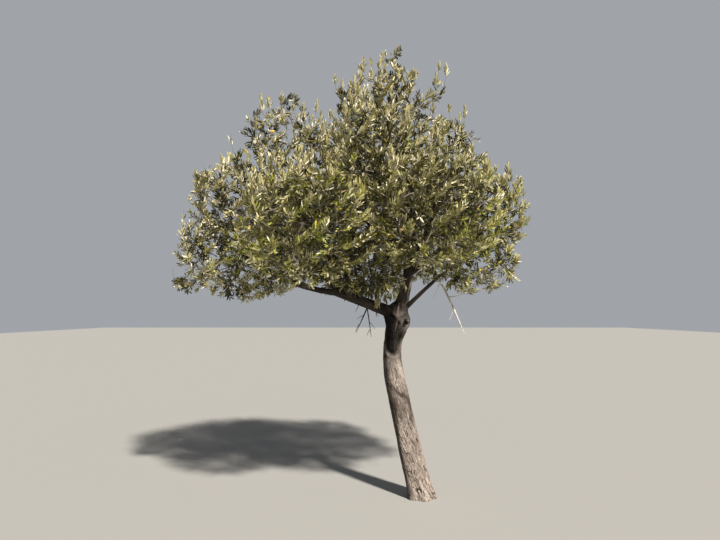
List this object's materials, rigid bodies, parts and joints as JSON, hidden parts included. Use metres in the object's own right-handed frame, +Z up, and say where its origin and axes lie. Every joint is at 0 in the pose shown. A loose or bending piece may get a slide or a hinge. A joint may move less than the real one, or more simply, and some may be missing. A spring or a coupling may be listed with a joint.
{
  "type": "olive tree",
  "caption": "Lone olive tree with a leaning fissured trunk that forks at head height into low boughs and a wide, open crown of narrow silver-green leaves.",
  "frame": {"origin": "centre of the flat cut under the trunk, at ground level", "axes": "+Z up, +X to the right in the picture, +Y away from the camera"},
  "size_m": [3.2435, 2.3599, 4.1378],
  "materials": {
    "bark": "rough, fissured",
    "dead_wood": "rough, weathered",
    "foliage": "satin leaves"
  },
  "bodies": {
    "root": {"trunk": "bark", "left_bough": "bark", "left_outer_bough": "bark", "left_far_bough": "bark", "left_rising_bough": "bark", "middle_left_bough": "bark", "left_front_bough": "bark", "left_back_bough": "bark", "low_centre_bough": "bark", "low_front_bough": "bark", "central_bough": "bark", "leader_bough": "bark", "upper_left_bough": "bark", "centre_bough": "bark", "centre_right_bough": "bark", "right_rising_bough": "bark", "right_outer_bough": "bark", "right_bough": "bark", "front_right_bough": "bark", "back_right_bough": "bark", "upper_front_bough": "bark", "upper_back_bough": "bark", "dead_bough": "dead_wood", "bare_twigs": "dead_wood", "top_foliage": "foliage", "upper_left_foliage": "foliage", "left_shoulder_foliage": "foliage", "far_left_foliage": "foliage", "lower_left_foliage": "foliage", "middle_left_foliage": "foliage", "front_left_foliage": "foliage", "back_left_foliage": "foliage", "low_centre_foliage": "foliage", "low_front_foliage": "foliage", "centre_foliage": "foliage", "centre_right_foliage": "foliage", "upper_right_foliage": "foliage", "right_foliage": "foliage", "lower_right_foliage": "foliage", "front_right_foliage": "foliage", "upper_front_foliage": "foliage", "upper_back_foliage": "foliage", "back_right_foliage": "foliage"}
  },
  "joints": []
}
